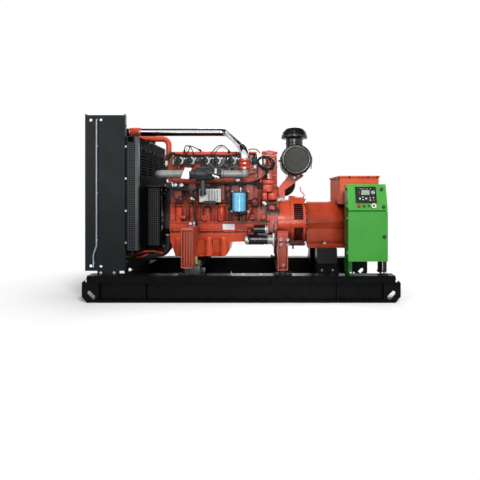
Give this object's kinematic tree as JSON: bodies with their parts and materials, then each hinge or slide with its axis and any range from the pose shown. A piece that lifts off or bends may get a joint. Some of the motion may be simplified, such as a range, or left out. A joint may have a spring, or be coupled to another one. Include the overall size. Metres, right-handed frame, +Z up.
{
  "type": "gas engine generator set",
  "caption": "Skid-mounted gas engine generator set with a front radiator, overhead charge pipe, canister air filter, alternator and a control cabinet with hinged doors.",
  "frame": {"origin": "middle of the skid's footprint on the floor", "axes": "+X along the set from the radiator to the alternator, +Y from the cabinet's side to the far side, +Z up"},
  "size_m": [3.45, 1.25, 2.047],
  "materials": {
    "black_paint": "satin black enamel on welded steel",
    "radiator_black": "satin black coated sheet steel",
    "orange_paint": "glossy orange-red engine enamel",
    "green_paint": "satin green powder coat on sheet steel",
    "chrome_tube": "polished tube",
    "cast_aluminium": "plain sand-cast aluminium",
    "exhaust_iron": "heat-browned cast iron",
    "hose_rubber": "smooth black hose rubber",
    "red_silicone": "orange-red silicone hose",
    "filter_plastic": "matte black moulded plastic",
    "blue_metal": "glossy blue enamel on a drawn can",
    "black_plastic": "matte black moulded plastic",
    "fan_plastic": "dark glass-filled plastic",
    "zinc_steel": "zinc-plated steel",
    "button_cream": "glossy moulded plastic"
  },
  "bodies": {
    "generator_set": {"near_rail": "black_paint", "far_rail": "black_paint", "cross_beams": "black_paint", "radiator_sides": "radiator_black", "charge_cooler": "radiator_black", "radiator_core": "radiator_black", "fan_shroud": "radiator_black", "fan": "fan_plastic", "guard_panels": "radiator_black", "guard_rear_panel": "radiator_black", "belt_guard": "radiator_black", "belt_drive": "zinc_steel", "overflow_tube": "zinc_steel", "charge_hoses": "red_silicone", "charge_pipe": "chrome_tube", "intake_elbow": "cast_aluminium", "throttle_body": "black_plastic", "front_air_pipe": "cast_aluminium", "intake_manifold": "orange_paint", "hot_charge_pipe": "orange_paint", "turbocharger": "exhaust_iron", "exhaust_manifold": "exhaust_iron", "filter_duct": "hose_rubber", "air_filter": "filter_plastic", "rain_cap": "filter_plastic", "filter_brackets": "orange_paint", "coolant_top_pipe": "orange_paint", "coolant_bottom_hose": "hose_rubber", "thermostat_housing": "orange_paint", "oil_pan": "orange_paint", "cylinder_block": "orange_paint", "cylinder_heads": "orange_paint", "rocker_cover": "orange_paint", "coil_plate": "zinc_steel", "ignition_coils": "black_plastic", "side_manifold": "orange_paint", "engine_controller": "cast_aluminium", "canister": "blue_metal", "canister_frame": "zinc_steel", "gear_housing": "orange_paint", "flywheel_housing": "orange_paint", "starter_motor": "black_paint", "engine_legs": "orange_paint", "engine_mounts": "hose_rubber", "adaptor": "orange_paint", "alternator": "orange_paint", "terminal_box": "orange_paint", "alternator_stands": "black_paint", "cabinet_body": "green_paint", "cabinet_stand": "green_paint", "hinge_leaves": "zinc_steel"},
    "upper_door": {"upper_door": "green_paint", "controller": "black_plastic", "panel_buttons": "button_cream"},
    "lower_door": {"lower_door": "green_paint"}
  },
  "joints": [
    {"name": "upper_door_hinge", "type": "hinge", "parent": "generator_set", "child": "upper_door", "pos_m": [1.153, -0.54632, 1.13465], "axis": [0, -0.2377, -0.9713], "range_deg": [0, 110]},
    {"name": "lower_door_hinge", "type": "hinge", "parent": "generator_set", "child": "lower_door", "pos_m": [1.153, -0.581, 0.7], "axis": [0, 0, -1], "range_deg": [0, 110]}
  ]
}
